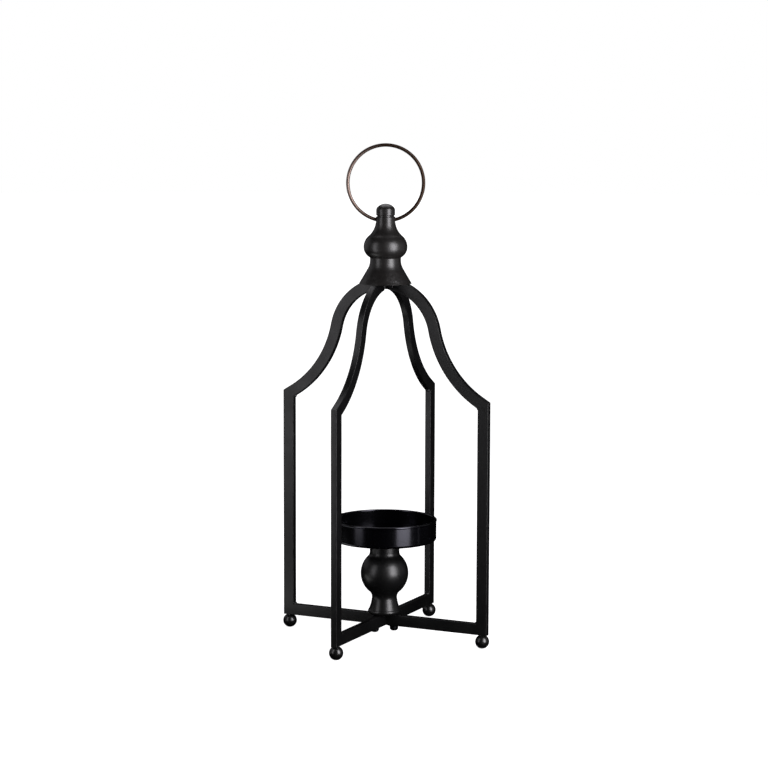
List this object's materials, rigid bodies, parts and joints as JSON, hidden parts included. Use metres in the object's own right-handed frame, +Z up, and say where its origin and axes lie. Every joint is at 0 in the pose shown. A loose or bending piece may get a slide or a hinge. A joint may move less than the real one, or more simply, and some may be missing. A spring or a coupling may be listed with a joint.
{
  "type": "candle lantern",
  "caption": "Open candle lantern: crossed flat-bar hoops with ogee shoulders on ball feet, a turned finial with a swinging hanging ring, and a round candle pan on a turned stem.",
  "frame": {"origin": "on the floor under the lantern's axis, midway between the ball feet", "axes": "+Z up along the axis of finial and stem, +X to the right leg, -Y to the front leg"},
  "size_m": [0.2186, 0.2186, 0.4738],
  "materials": {
    "frame_paint": "satin",
    "foot_paint": "gloss",
    "finial_paint": "satin",
    "stem_paint": "satin",
    "pan_paint": "satin",
    "ring_wire": "satin",
    "fastener_black": "satin",
    "fastener_plain": "satin"
  },
  "bodies": {
    "lantern": {"ogee_bar_right": "frame_paint", "ogee_bar_back": "frame_paint", "ogee_bar_left": "frame_paint", "ogee_bar_front": "frame_paint", "upright_right": "frame_paint", "upright_back": "frame_paint", "upright_left": "frame_paint", "upright_front": "frame_paint", "base_bar_long": "frame_paint", "base_bar_back": "frame_paint", "base_bar_front": "frame_paint", "crown_block": "frame_paint", "ball_foot_right": "foot_paint", "ball_foot_back": "foot_paint", "ball_foot_left": "foot_paint", "ball_foot_front": "foot_paint", "finial": "finial_paint", "stem": "stem_paint", "candle_pan": "pan_paint", "clamp_screw_back": "fastener_black", "clamp_screw_front": "fastener_black", "clamp_washer_back": "fastener_black", "clamp_washer_front": "fastener_black", "finial_screw": "fastener_plain", "pan_stud": "fastener_plain"},
    "ring": {"hanging_ring": "ring_wire"}
  },
  "joints": [
    {"name": "ring_swing", "type": "hinge", "parent": "lantern", "child": "ring", "pos_m": [0, 0, 0.40153], "axis": [0.8988, 0.4384, 0], "range_deg": [-153.5, 153.5]}
  ]
}
